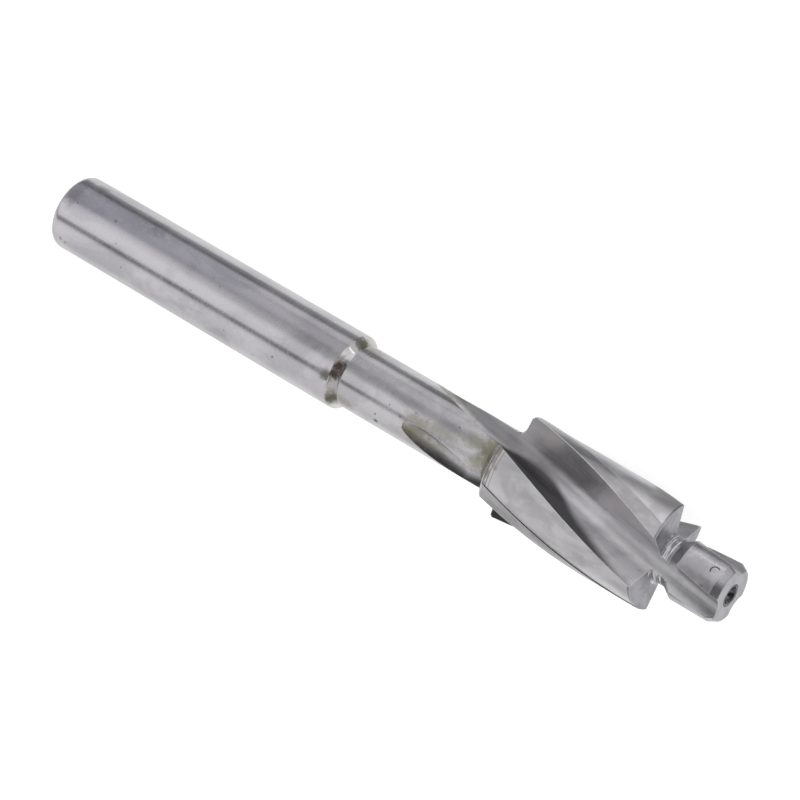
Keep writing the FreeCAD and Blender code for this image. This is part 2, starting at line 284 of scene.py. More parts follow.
def profileRows():
    # outline of the turned blank as rows of (station, radius, zone), from the shank's end to the centre hole
    t, counts = tool, fineness["rows"]
    shank, neck, head, pilot = t["shankRadius"], t["neckRadius"], t["headRadius"], t["pilotRadius"]
    endRadius, rounding, fillet = t["shankEndRadius"], t["shoulderRounding"], t["neckFillet"]
    rows = lineRows(0, 0, 0, shank - endRadius, counts["shankEnd"], "shankEnd")
    rows += arcRows(endRadius, shank - endRadius, endRadius, 180, 90, "shankEnd")

    slope = math.atan2(shank - neck, t["shoulderLength"])
    reach = rounding * math.tan(slope / 2)
    slopeAngle = math.degrees(slope)
    shankEdge = t["shankLength"] - reach
    neckEdge = t["shankLength"] + t["shoulderLength"] + reach
    rows += guardedRows(endRadius, shankEdge, shank, int(t["shankLength"] / fineness["plainRow"]), "shank")
    rows += arcRows(shankEdge, shank - rounding, rounding, 90, 90 - slopeAngle, "shoulder")
    rows += arcRows(neckEdge, neck + rounding, rounding, 270 - slopeAngle, 270, "shoulder")

    runOut = fluteStart - flute["twistReach"]
    filletStart = backPlane - fillet
    runOutRows = int((filletStart - runOut) / fineness["runOutRow"])
    rows += guardedRows(neckEdge, runOut, neck, counts["neck"], "neck")
    rows += lineRows(runOut, neck, filletStart, neck, runOutRows, "neck")
    rows += arcRows(filletStart, neck + fillet, fillet, 270, 360, "headBack")

    backRim = head - t["headBackChamfer"]
    headStart = backPlane + t["headBackChamfer"]
    headRows = int((cuttingPlane - headStart) / fineness["headRow"])
    rows += lineRows(backPlane, neck + fillet, backPlane, backRim, counts["headBack"], "headBack")
    rows += lineRows(backPlane, backRim, headStart, head, counts["backChamfer"], "headBack")
    rows += lineRows(headStart, head, cuttingPlane, head, headRows, "land")

    undercut = t["undercutRadius"]
    floorEnd = cuttingPlane + t["undercutWidth"]
    slopeEnd = floorEnd + t["undercutSlope"]
    rows += lineRows(cuttingPlane, head, cuttingPlane, undercut, counts["frontFace"], "frontFace")
    rows += lineRows(cuttingPlane, undercut, floorEnd, undercut, counts["undercut"], "undercut")
    rows += lineRows(floorEnd, undercut, slopeEnd, pilot, counts["slope"], "slope")

    chamferStart = tipPlane - t["pilotChamferLength"]
    chamferRim = pilot - t["pilotChamferDepth"]
    pilotRows = int((chamferStart - slopeEnd) / fineness["pilotRow"])
    rows += lineRows(slopeEnd, pilot, chamferStart, pilot, pilotRows, "pilot")
    rows += lineRows(chamferStart, pilot, tipPlane, chamferRim, counts["pilotChamfer"], "pilotChamfer")

    mouth, drill = t["centreMouthRadius"], t["centreDrillRadius"]
    coneEnd = tipPlane - (mouth - drill) / math.tan(math.radians(t["centreAngle"] / 2))
    drillEnd = tipPlane - t["centreDepth"]
    rows += lineRows(tipPlane, chamferRim, tipPlane, mouth, counts["tipFace"], "tipFace")
    rows += lineRows(tipPlane, mouth, coneEnd, drill, counts["centreCone"], "centreHole")
    rows += lineRows(coneEnd, drill, drillEnd, drill, counts["centreDrill"], "centreHole")
    rows += lineRows(drillEnd, drill, drillEnd - t["drillTip"], 0, counts["drillTip"], "centreHole")
    return withoutDoubles(rows)


def frontStation(angles, radii):
    # where each column meets the front face, which falls away behind its cutting edge
    relief = math.tan(math.radians(tool["endRelief"]))
    station = np.full(len(angles), cuttingPlane)
    for _ in range(fineness["reliefRounds"]):
        behind = np.asarray(angles) - leadingEdge - twistPerMm * (station - cuttingPlane)
        behind = np.where(behind < -fineness["tinyAngle"], behind + pitchAngle, behind)
        falls = np.where(behind < 90, np.sin(np.radians(np.clip(behind, 0, 90))), 0)
        station = cuttingPlane - relief * radii * falls
    return station


def buildSector():
    # one tooth space and its tooth before the helix twists them: the rows, the station, angle and radius
    # of every point, and how deep the flute cuts the blank there
    rows = profileRows()
    slack = fineness["tinyLength"]
    landRadius = tool["headRadius"] - tool["landRelief"]
    helix = helixRadius(columns)
    headCap = np.where(columns > marginEnd + fineness["tinyAngle"], landRadius, tool["headRadius"])
    headStart = backPlane + tool["headBackChamfer"]
    frontAtEdge = frontStation(columns, np.minimum(headCap, helix))
    frontAtCore = frontStation(columns, np.minimum(tool["undercutRadius"], helix))
    uncutZones = ("centreHole", "shank", "shankEnd", "shoulder")
    stations, angles, radii, cuts = [], [], [], []
    for station, radius, zone in rows:
        inHead = backPlane - slack <= station <= cuttingPlane + slack and radius > tool["undercutRadius"]
        blank = np.minimum(radius, headCap) if inHead else np.full(len(columns), radius)
        if zone in uncutZones or station < fluteStart - flute["twistReach"]:
            surface = np.full(len(columns), flute["farRadius"])
        else:
            surface = fluteRadius(station, columns)
        here = np.full(len(columns), station)
        if zone == "land":
            part = (station - headStart) / (cuttingPlane - headStart)
            here = headStart + part * (frontAtEdge - headStart)
        elif zone == "frontFace":
            here = frontStation(columns, np.minimum(blank, helix))
        elif zone == "undercut":
            part = (station - cuttingPlane) / tool["undercutWidth"]
            here = frontAtCore + part * (cuttingPlane + tool["undercutWidth"] - frontAtCore)
        turned = columns.copy()
        if zone == "neck" and station < fluteStart + flute["snapUpTo"]:
            turned = snapToEdge(station, radius, blank, surface)
            surface = fluteRadius(station, turned)
        stations.append(here)
        angles.append(turned)
        radii.append(np.minimum(blank, surface))
        cuts.append(blank - surface)
    return rows, np.array(stations), np.array(angles), np.array(radii), np.array(cuts)


def snapToEdge(station, radius, blank, surface):
    # moves the nearest column onto the run-out's edge, where the disc leaves the neck
    turned = columns.copy()
    cut = blank > surface
    for k in np.nonzero(cut[:-1] != cut[1:])[0]:
        angles = np.linspace(columns[k], columns[k + 1], fineness["edgeSteps"])
        depth = radius - fluteRadius(station, angles)
        last = np.nonzero((depth[:-1] > 0) != (depth[1:] > 0))[0]
        if not len(last):
            continue
        before, after = depth[last[0]], depth[last[0] + 1]
        edge = angles[last[0]] + (angles[1] - angles[0]) * before / (before - after)
        nearest = k if edge - columns[k] < columns[k + 1] - edge else k + 1
        if 0 < nearest < len(columns) - 1:
            turned[nearest] = edge
    return turned


def faceZone(zone, corners, j):
    # the flute's surface, or the part of the land that lies between columns j and j + 1
    before, after = columns[j], columns[j + 1]
    tiny = fineness["tinyAngle"]
    if min(corners) > -4 * fineness["tinyCut"] and max(corners) > fineness["tinyCut"]:
        return "flute"
    if zone == "land" and after <= marginEnd + tiny and before >= leadingEdge - tiny:
        return "margin"
    if zone == "land" and abs(after - marginEnd - tool["stepWidth"]) < tiny:
        return "step"
    return zone


def sectorMesh():
    rows, stations, angles, radii, cuts = buildSector()
    rowCount, columnCount = stations.shape
    turn = np.radians(angles)
    points = np.stack([stations, radii * np.sin(turn), radii * np.cos(turn)], axis=-1).reshape(-1, 3)
    faces, faceZones = [], []
    for i in range(rowCount - 1):
        for j in range(columnCount - 1):
            a, b = i * columnCount + j, (i + 1) * columnCount + j
            corners = [cuts[i, j], cuts[i + 1, j], cuts[i + 1, j + 1], cuts[i, j + 1]]
            onEdge = [bool(abs(cut) < fineness["tinyCut"]) for cut in corners]
            new = [(a, b, b + 1, a + 1)]
            # on the neck a face is split along the run-out's edge
            if rows[i][2] == "neck" and onEdge == [False, True, False, True]:
                new = [(a, b, a + 1), (b, b + 1, a + 1)]
            elif rows[i][2] == "neck" and onEdge == [True, False, True, False]:
                new = [(a, b, b + 1), (a, b + 1, a + 1)]
            faces += new
            faceZones += [zones.index(faceZone(rows[i + 1][2], corners, j))] * len(new)
    mesh = bpy.data.meshes.new("toothSector")
    mesh.from_pydata(points.tolist(), [], faces)
    layer = mesh.attributes.new("zone", "INT", "FACE")
    layer.data.foreach_set("value", faceZones)
    return mesh


class NodeMaker:
    # short hand for adding nodes and links to a tree

    def __init__(self, tree):
        self.tree = tree

    def add(self, kind, values=None, **settings):
        node = self.tree.nodes.new(kind)
        for name, setting in settings.items():
            setattr(node, name, setting)
        for key, value in (values or {}).items():
            self.feed(node.inputs[key], value)
        return node

    def feed(self, socket, value):
        if isinstance(value, bpy.types.NodeSocket):
            self.tree.links.new(value, socket)
        else:
            socket.default_value = value

    def math(self, operation, *values, clamp=False):
        node = self.tree.nodes.new("ShaderNodeMath")
        node.operation = operation
        node.use_clamp = clamp
        for k, value in enumerate(values):
            self.feed(node.inputs[k], value)
        return node.outputs[0]

    def vector(self, operation, *values):
        node = self.tree.nodes.new("ShaderNodeVectorMath")
        node.operation = operation
        for k, value in enumerate(values):
            self.feed(node.inputs[k], value)
        return node.outputs["Value" if operation in ("LENGTH", "DOT_PRODUCT", "DISTANCE") else "Vector"]

    def step(self, value, start, end, low=0.0, high=1.0):
        # smooth step of a value from start to end
        node = self.add("ShaderNodeMapRange", {
            "Value": value, "From Min": start, "From Max": end, "To Min": low, "To Max": high})
        node.interpolation_type = "SMOOTHSTEP"
        return node.outputs[0]

    def mix(self, share, first, second):
        node = self.add("ShaderNodeMix", {0: share}, data_type="RGBA")
        self.feed(node.inputs[6], first)
        self.feed(node.inputs[7], second)
        return node.outputs[2]

    def swing(self, value, span):
        # a noise about its middle, times a span
        return self.math("MULTIPLY", self.math("SUBTRACT", value, 0.5), span)

    def noise(self, vector, detail=2.0, rough=0.6, warp=0.0):
        node = self.add("ShaderNodeTexNoise", {"Vector": vector, "Scale": 1.0, "Detail": detail})
        node.inputs["Roughness"].default_value = rough
        node.inputs["Distortion"].default_value = warp
        return node.outputs[0]

    def stretch(self, vector, scale, place=(0, 0, 0), turn=(0, 0, 0)):
        return self.add("ShaderNodeMapping", {
            "Vector": vector, "Scale": scale, "Location": place, "Rotation": turn}).outputs[0]


def placeGroup(shift):
    # turns a point of the lying tool into millimetres along, across and round its own axis
    tree = bpy.data.node_groups.new("toolPlace", "ShaderNodeTree")
    kinds = {"Place": "Vector", "Turning": "Vector", "Untwisted": "Vector", "Axis": "Vector",
             "Across": "Vector", "Along": "Float", "Radius": "Float", "Side": "Float"}
    for name, kind in kinds.items():
        tree.interface.new_socket(name, in_out="OUTPUT", socket_type="NodeSocket" + kind)
    maker = NodeMaker(tree)
    turn = (math.radians(rest["side"] - 180), -math.radians(rest["lean"]), 0)
    point = maker.add("ShaderNodeTexCoord").outputs["Object"]
    place = maker.add("ShaderNodeMapping", {
        "Vector": point, "Location": shift, "Rotation": turn, "Scale": (mm, mm, mm)},
        vector_type="TEXTURE").outputs[0]
    parts = maker.add("ShaderNodeSeparateXYZ", {0: place}).outputs
    radial = maker.vector("MULTIPLY", place, (0, 1, 1))
    unit = maker.vector("NORMALIZE", radial)
    radius = maker.vector("LENGTH", radial)
    station = maker.add("ShaderNodeCombineXYZ", {"X": parts[0]}).outputs[0]
    perMm = 2 * math.pi / flute["lead"]
    twist = maker.math("MULTIPLY", maker.math("SUBTRACT", fluteStart, parts[0]), perMm)
    untwisted = maker.add("ShaderNodeVectorRotate", {"Vector": place, "Angle": twist}, rotation_type="X_AXIS")

    # distance across the nearest flute in millimetres; behind its start the disc leaves it in a straight line
    beyond = maker.math("SUBTRACT", parts[0], fluteStart)
    back = maker.math("MINIMUM", beyond, 0.0)
    ahead = maker.math("MULTIPLY", maker.math("MAXIMUM", beyond, 0.0), twistPerMm)
    drift = maker.math("MULTIPLY", back, flute["runOutDrift"])
    around = maker.math("MULTIPLY", maker.math("ARCTAN2", parts[1], parts[2]), 180 / math.pi)
    around = maker.math("SUBTRACT", maker.math("ADD", around, ahead), drift)
    whole = maker.math("MULTIPLY", maker.math("ROUND", maker.math("DIVIDE", around, pitchAngle)), pitchAngle)
    around = maker.math("ADD", maker.math("SUBTRACT", around, whole), drift)
    around = maker.math("MULTIPLY", around, math.pi / 180)
    side = maker.math("MULTIPLY", maker.math("SINE", around), radius)
    side = maker.math("MULTIPLY", side, math.cos(helixAngle))
    side = maker.math("ADD", side, maker.math("MULTIPLY", back, math.sin(helixAngle)))

    # directions of the milled lines and of the tool's axis
    sideways = {"Y": maker.math("MULTIPLY", parts[2], -perMm), "Z": maker.math("MULTIPLY", parts[1], perMm)}
    helix = maker.add("ShaderNodeCombineXYZ", {"X": 1.0, **sideways})
    helix = maker.add("ShaderNodeMapping", {
        "Vector": helix.outputs[0], "Rotation": turn}, vector_type="VECTOR")
    normal = maker.add("ShaderNodeNewGeometry").outputs["Normal"]
    lean = math.radians(rest["lean"])
    results = {
        "Place": place, "Turning": maker.vector("ADD", unit, station), "Untwisted": untwisted.outputs[0],
        "Axis": maker.add("ShaderNodeCombineXYZ", {"X": math.cos(lean), "Z": math.sin(lean)}).outputs[0],
        "Across": maker.vector("NORMALIZE", maker.vector("CROSS_PRODUCT", normal, helix.outputs[0])),
        "Along": parts[0], "Radius": radius, "Side": side}
    leave = tree.nodes.new("NodeGroupOutput")
    for name, socket in results.items():
        tree.links.new(socket, leave.inputs[name])
    return tree


def atAngle(station, angle, radius):
    turned = math.radians(angle)
    return (station, radius * math.sin(turned), radius * math.cos(turned))


# Colours are linear; lengths are in millimetres on the tool, heights in micrometres.
# A spot is a film or a painted glint, its place along the tool, its angle, its half sizes and its
# strength; a ring is its place, its width and its strength.
steels = {
    "shankSteel": {
        "light": (0.66, 0.65, 0.675), "dark": (0.52, 0.51, 0.54), "roughness": 0.25, "roughnessSpread": 0.07,
        "grain": "turned", "spacing": 0.17, "height": 0.3, "grainTone": 0.2, "anisotropy": 0.5,
        "cloud": 5.0, "scratches": 0.35, "pits": 0.5, "edge": 0.25,
        "grainFrom": (14, 31), "spotRadius": tool["shankRadius"],
        "spots": [
            ("smudge", 2.98, -4.2, (0.9, 0.9), 0.6), ("smudge", 1.2, -7.0, (0.7, 1.0), 0.6),
            ("smudge", 1.3, -36.0, (0.7, 1.4), 0.5), ("smudge", 11.4, -21.0, (1.1, 0.6), 0.4),
            ("smudge", 15.7, -7.1, (1.1, 0.4), 0.45), ("brown", 36.1, -78.0, (0.9, 0.6), 0.8),
            ("smudge", 8.0, -24.0, (5.0, 1.0), 0.3), ("smudge", 22.0, -100.0, (5.0, 1.5), 0.2),
            ("dark", 7.08, -39.8, (0.2, 0.2), 0.7), ("dark", 1.6, -109.5, (0.2, 0.25), 0.6),
            ("dark", 2.2, -113.0, (0.22, 0.2), 0.5), ("dark", 29.7, -96.9, (0.14, 0.14), 0.7),
            ("smudge", 5.0, 120.0, (1.5, 1.0), 0.4), ("smudge", 20.0, 60.0, (3.0, 0.8), 0.3)],
    },
    "shoulderSteel": {
        "light": (0.76, 0.75, 0.75), "dark": (0.58, 0.57, 0.56), "roughness": 0.12, "roughnessSpread": 0.04,
        "grain": "turned", "spacing": 0.12, "height": 0.5, "grainTone": 0.12, "anisotropy": 0.2,
        "cloud": 2.0, "scratches": 0.2, "pits": 0.2, "edge": 0.5, "spotRadius": 3.7,
        "rings": [(36.42, 0.1, 0.2), (37.52, 0.12, 0.45)],
        "spots": [
            ("olive", 37.4, 2.0, (1.0, 1.1), 1.0), ("olive", 37.1, -115.0, (1.3, 1.0), 1.0),
            ("brown", 37.0, -57.0, (1.2, 1.0), 1.0), ("brown", 36.8, -70.0, (1.0, 0.8), 1.0),
            ("oil", 37.3, 62.0, (1.0, 1.6), 0.7), ("oil", 37.1, 165.0, (1.0, 1.8), 0.8),
            ("brown", 37.2, 112.0, (0.8, 1.2), 0.6)],
    },
    "neckSteel": {
        "light": (0.67, 0.66, 0.68), "dark": (0.54, 0.53, 0.55), "roughness": 0.24, "roughnessSpread": 0.07,
        "grain": "turned", "spacing": 0.14, "height": 0.35, "grainTone": 0.1, "anisotropy": 0.45,
        "cloud": 3.0, "scratches": 0.4, "pits": 0.8, "edge": 0.25, "spotRadius": tool["neckRadius"],
        "rings": [(55.3, 0.16, 0.75), (55.85, 0.25, 0.95)],
        "spots": [
            ("dark", 42.4, -113.9, (0.3, 0.22), 0.8), ("dark", 46.4, -59.4, (0.16, 0.12), 0.5),
            ("dark", 45.0, -78.4, (0.2, 0.14), 0.6), ("oil", 46.8, -70.0, (1.5, 0.7), 0.6),
            ("oil", 48.8, -66.0, (1.8, 0.6), 0.5), ("oil", 50.8, -66.0, (1.5, 0.6), 0.4),
            ("oil", 53.6, -50.0, (2.2, 0.9), 0.6), ("olive", 55.1, -60.0, (1.0, 1.8), 0.8),
            ("brown", 55.75, -92.0, (0.5, 1.5), 0.75), ("brown", 55.7, -62.0, (0.4, 0.9), 0.75),
            ("oil", 54.9, -40.0, (1.0, 1.0), 0.6), ("oil", 54.4, -80.0, (1.3, 0.9), 0.6),
            ("oil", 38.2, -116.0, (1.2, 0.8), 0.6), ("oil", 38.2, 3.0, (1.3, 0.9), 0.5),
            ("smudge", 40.5, -40.0, (2.5, 1.0), 0.3), ("oil", 54.2, 70.0, (2.0, 1.5), 0.6),
            ("oil", 54.2, 190.0, (2.0, 1.5), 0.6)],
    },
    "fluteSteel": {
        "light": (0.8, 0.79, 0.81), "dark": (0.6, 0.59, 0.61), "roughness": 0.38, "roughnessSpread": 0.1,
        "grain": "helix", "spacing": 0.2, "height": 1.0, "grainTone": 0.42, "anisotropy": 0.5,
        "cloud": 3.5, "scratches": 0.3, "pits": 0.3, "edge": 1.0, "spotRadius": 3.0,
        # valley: painted shade on the flute's heel side and in its valley
        "valley": {"colour": (0.055, 0.053, 0.055), "share": 0.9, "bank": (-0.7, -1.5),
                   "along": (cuttingPlane + 1.0, cuttingPlane - 0.5), "narrowFrom": 62.0, "narrow": 0.13,
                   "entry": 59.5, "entryReach": (7.5, 0.5), "entryWidth": 1.35},
        # runOut: painted shade on the run-out behind the head and on the pilot's flutes
        "runOut": {"colour": (0.12, 0.118, 0.12), "share": 0.52, "along": (65.5, 58.5), "side": (-0.4, 0.4),
                   "pilotAlong": (cuttingPlane + 2.0, cuttingPlane + 2.6), "pilotSide": (0.2, 0.8)},
        "warm": {"colour": (0.5, 0.44, 0.38), "share": 0.5, "cloud": (0.45, 0.62), "side": (1.0, 2.6)},
        "spots": [
            ("oil", 46.6, -94.0, (2.2, 0.9), 0.85), ("oil", 49.5, -106.0, (2.4, 0.9), 0.75),
            ("oil", 53.0, -119.0, (2.4, 0.9), 0.8), ("oil", 46.6, 26.0, (2.2, 0.9), 0.8),
            ("oil", 49.5, 14.0, (2.4, 0.9), 0.6), ("oil", 46.6, 146.0, (2.2, 0.9), 0.8),
            ("oil", 49.5, 134.0, (2.4, 0.9), 0.7),
            # a painted glint, not a film
            ("paintedGlint", 54.6, -36.0, (0.13, 0.13), 1.0)],
    },
    "landSteel": {
        "light": (0.8, 0.79, 0.805), "dark": (0.62, 0.61, 0.62), "roughness": 0.4, "roughnessSpread": 0.06,
        "grain": "turned", "spacing": 0.2, "height": 0.5, "grainTone": 0.1, "anisotropy": 0.2,
        "cloud": 2.5, "scratches": 0.7, "pits": 0.7, "edge": 0.6, "spotRadius": 5.4,
        "rings": [(56.66, 0.08, 0.9), (57.0, 0.06, 0.75), (57.35, 0.05, 0.5)],
        "spots": [
            ("rust", 56.75, -73.8, (0.3, 0.7), 0.8), ("rust", 56.75, -60.0, (0.28, 0.6), 0.7),
            ("rust", 56.8, -48.0, (0.3, 0.7), 0.8), ("rust", 56.7, -86.0, (0.3, 0.6), 0.6),
            ("rust", 57.3, -66.0, (0.3, 0.3), 0.5), ("rust", 56.8, 60.0, (0.3, 1.2), 0.6),
            ("rust", 56.8, 180.0, (0.3, 1.2), 0.6), ("smudge", 61.9, -75.7, (1.6, 0.5), 0.1),
            ("smudge", 64.5, -64.0, (1.4, 0.4), 0.1), ("smudge", 68.0, -95.0, (1.8, 0.4), 0.12)],
    },
    "marginSteel": {
        "light": (0.62, 0.61, 0.62), "dark": (0.48, 0.47, 0.48), "roughness": 0.34, "roughnessSpread": 0.06,
        "grain": "helix", "spacing": 0.12, "height": 0.4, "grainTone": 0.2, "anisotropy": 0.2,
        "cloud": 2.0, "scratches": 0.5, "pits": 0.5, "edge": 1.0, "spots": [],
    },
    # painted shade: the narrow step between margin and land is painted dark
    "stepSteelPaintedShade": {
        "light": (0.22, 0.215, 0.215), "dark": (0.1, 0.098, 0.098), "roughness": 0.4, "roughnessSpread": 0.08,
        "grain": "helix", "spacing": 0.3, "height": 0.6, "grainTone": 0.3, "anisotropy": 0.0,
        "cloud": 1.5, "scratches": 0.0, "pits": 0.0, "edge": 0.1, "spots": [],
    },
    "faceSteel": {
        "light": (0.455, 0.455, 0.485), "dark": (0.33, 0.33, 0.352),
        "roughness": 0.38, "roughnessSpread": 0.08,
        "grain": "flat", "spacing": 0.16, "height": 1.4, "grainTone": 0.25, "anisotropy": 0.2,
        "cloud": 1.5, "scratches": 0.5, "pits": 0.4, "edge": 0.6, "spots": [],
    },
    # the undercut is painted in near-white and dark rings: partly turned grain, partly painted highlight and
    # shade
    "undercutSteel": {
        "light": (0.98, 0.98, 1.0), "dark": (0.3, 0.3, 0.31), "roughness": 0.5, "roughnessSpread": 0.05,
        "grain": "turned", "spacing": 0.16, "height": 0.6, "grainTone": 1.8, "anisotropy": 0.0,
        "cloud": 6.0, "scratches": 0.0, "pits": 0.0, "edge": 0.2, "metal": 0.35, "spots": [],
    },
    "pilotSteel": {
        "light": (0.59, 0.58, 0.605), "dark": (0.46, 0.45, 0.47), "roughness": 0.27, "roughnessSpread": 0.07,
        "grain": "turned", "spacing": 0.14, "height": 0.25, "grainTone": 0.14, "anisotropy": 0.3,
        "cloud": 2.0, "scratches": 0.4, "pits": 0.5, "edge": 0.4, "spotRadius": tool["pilotRadius"],
        "spots": [("dark", 80.2, -66.7, (0.25, 0.2), 0.6), ("smudge", 80.6, -62.0, (0.5, 0.5), 0.5)],
        "curl": {"at": (80.59, -33.6), "size": 0.55, "colour": (0.07, 0.07, 0.07), "radius": 0.8,
                 "line": (0.16, 0.06), "open": (-0.7, 0.5, 0.5), "fade": (-0.1, 0.2)},
    },
    "tipSteel": {
        "light": (0.52, 0.517, 0.545), "dark": (0.43, 0.427, 0.45),
        "roughness": 0.34, "roughnessSpread": 0.06,
        "grain": "rings", "spacing": 0.16, "height": 0.8, "grainTone": 0.12, "anisotropy": 0.0,
        "cloud": 1.5, "scratches": 0.3, "pits": 0.3, "edge": 0.4, "spots": [],
    },
    # painted shade: the centre hole is painted dark
    "centreSteelPaintedShade": {
        "light": (0.16, 0.155, 0.16), "dark": (0.04, 0.038, 0.04), "roughness": 0.14, "roughnessSpread": 0.08,
        "grain": "turned", "spacing": 0.14, "height": 5.0, "grainTone": 0.7, "anisotropy": 0.0,
        "cloud": 0.5, "scratches": 0.0, "pits": 0.0, "edge": 0.3, "spots": [],
    },
}

# What all finishes share: sizes of noise per millimetre, where a mark begins and where it is full,
# and depths in millimetres
wearAndSheen = {
    "cloud": {"scale": (0.6, 1, 1), "tone": (0.38, 0.62), "depth": 0.002},
    "mottle": {"scale": 2.2, "tone": 0.5},
    "scratch": {"scale": (0.35, 7.0, 7.0), "turn": (0.2, 0.35, 0.5), "mark": (0.66, 0.7), "depth": 0.0025},
    "pit": {"scale": 0.8, "rare": (0.7, 0.72), "mark": (0.11, 0.06), "depth": 0.02,
            "colour": (0.12, 0.12, 0.12)},
    "grain": {"along": 0.12, "around": 1.1, "flat": 0.25, "flatTurn": (0.6, 0.3, 0.0), "tone": 4,
              "faintTone": 0.35, "faintHeight": 0.3},
    # edge: a painted edge highlight, partly standing for wear
    "edge": {"radius": 0.11 * mm, "mark": (0.995, 0.9), "colour": (0.97, 0.97, 0.98), "metalLoss": 0.7},
    "ring": {"soft": 0.35, "broken": (0.3, 0.5), "colour": (0.07, 0.065, 0.055)},
    "spot": {"ragged": 1.5, "mark": (1.35, 0.25)},
    "leastRoughness": 0.08,
}

# What lies on the steel, and one painted glint: colour, how metallic it stays and how rough it is
films = {
    "oil": ((0.3, 0.285, 0.2), 0.75, 0.34),
    "olive": ((0.15, 0.14, 0.095), 0.55, 0.34),
    "brown": ((0.07, 0.052, 0.038), 0.4, 0.4),
    "rust": ((0.17, 0.14, 0.1), 0.35, 0.55),
    "smudge": ((0.27, 0.265, 0.275), 0.9, 0.42),
    "dark": ((0.06, 0.058, 0.06), 0.6, 0.5),
    # a painted glint
    "paintedGlint": ((0.95, 0.95, 0.95), 1.0, 0.1),
}

zoneSteel = {
    "shankEnd": "shankSteel", "shank": "shankSteel", "shoulder": "shoulderSteel", "neck": "neckSteel",
    "headBack": "neckSteel", "land": "landSteel", "margin": "marginSteel", "step": "stepSteelPaintedShade",
    "flute": "fluteSteel", "frontFace": "faceSteel", "undercut": "undercutSteel", "slope": "faceSteel",
    "pilot": "pilotSteel", "pilotChamfer": "pilotSteel", "tipFace": "tipSteel", "centreHole": "centreSteelPaintedShade",
}


def grainVector(maker, where, look):
    # place for the grinding or turning lines of one kind of finish
    fine, grain = 1 / look["spacing"], wearAndSheen["grain"]
    if look["grain"] == "turned":
        return maker.stretch(where["Turning"], (fine, grain["around"], grain["around"]))
    if look["grain"] == "helix":
        return maker.stretch(where["Untwisted"], (grain["along"], fine, fine))
    if look["grain"] == "rings":
        rings = maker.math("MULTIPLY", where["Radius"], fine)
        return maker.add("ShaderNodeCombineXYZ", {"X": rings}).outputs[0]
    return maker.stretch(where["Place"], (fine, fine, grain["flat"] * fine), turn=grain["flatTurn"])


def pitMarks(maker, place, look):
    # round pits in a few of the cells
    pit = wearAndSheen["pit"]
    cells = maker.add("ShaderNodeTexVoronoi", {"Vector": place, "Scale": pit["scale"]})
    chance = maker.add("ShaderNodeSeparateXYZ", {0: cells.outputs["Color"]}).outputs[0]
    rare = maker.step(chance, *pit["rare"])
    marks = maker.math("MULTIPLY", maker.step(cells.outputs["Distance"], *pit["mark"]), rare)
    return maker.math("MULTIPLY", marks, look["pits"])


def shadeFlute(maker, where, look, cloud, colour):
    # painted shade: the heel side, the run-out and the pilot's flutes are painted dark, widest where the
    # flute enters the head
    along, side = where["Along"], where["Side"]
    valley, runOut, warm = look["valley"], look["runOut"], look["warm"]
    fromEntry = maker.math("ABSOLUTE", maker.math("SUBTRACT", along, valley["entry"]))
    wider = maker.math("MULTIPLY", maker.step(fromEntry, *valley["entryReach"]), valley["entryWidth"])
    ahead = maker.math("MAXIMUM", maker.math("SUBTRACT", along, valley["narrowFrom"]), 0.0)
    bank = maker.math("ADD", side, maker.math("MULTIPLY", ahead, valley["narrow"]))
    bank = maker.math("SUBTRACT", bank, wider)
    # painted shade in the valley
    valleyShade = maker.step(bank, *valley["bank"], 0.0, valley["share"])
    valleyShade = maker.math("MULTIPLY", valleyShade, maker.step(along, *valley["along"]))
    # painted shade on the run-out and on the pilot's flutes
    runOutShade = maker.math("MULTIPLY", maker.step(along, *runOut["along"]),
                          maker.step(side, *runOut["side"], 0.0, runOut["share"]))
    pilotFluteShade = maker.math("MULTIPLY", maker.step(along, *runOut["pilotAlong"]),
                         maker.step(side, *runOut["pilotSide"], 0.0, runOut["share"]))
    warmed = maker.math("MULTIPLY", maker.step(cloud, *warm["cloud"]),
                        maker.step(side, *warm["side"], 0.0, warm["share"]))
    colour = maker.mix(maker.math("MAXIMUM", runOutShade, pilotFluteShade), colour, (*runOut["colour"], 1))
    colour = maker.mix(valleyShade, colour, (*valley["colour"], 1))
    return maker.mix(warmed, colour, (*warm["colour"], 1))


def addRings(maker, where, look, mottle, colour):
    # thin dark rings round the axis at the listed stations, broken up by the mottling
    for station, width, strength in look.get("rings", []):
        gone = maker.math("ABSOLUTE", maker.math("SUBTRACT", where["Along"], station))
        ring = maker.step(gone, width, width * wearAndSheen["ring"]["soft"], 0.0, strength)
        ring = maker.math("MULTIPLY", ring, maker.step(mottle, *wearAndSheen["ring"]["broken"]))
        colour = maker.mix(ring, colour, (*wearAndSheen["ring"]["colour"], 1))
    return colour


def fromSpot(maker, place, look, station, angle, size):
    # place counted from a spot, in shares of its half sizes along and across
    return maker.add("ShaderNodeMapping", {
        "Vector": place, "Location": atAngle(station, angle, look["spotRadius"]),
        "Scale": (size[0], size[1], size[1])}, vector_type="TEXTURE").outputs[0]


def addCurl(maker, place, look, colour):
    # half a ring scratched into the pilot
    curl = look["curl"]
    near = fromSpot(maker, place, look, *curl["at"], (curl["size"], curl["size"]))
    ring = maker.math("ABSOLUTE", maker.math("SUBTRACT", maker.vector("LENGTH", near), curl["radius"]))
    half = maker.step(maker.vector("DOT_PRODUCT", near, curl["open"]), *curl["fade"])
    line = maker.math("MULTIPLY", maker.step(ring, *curl["line"]), half)
    return maker.mix(line, colour, (*curl["colour"], 1))


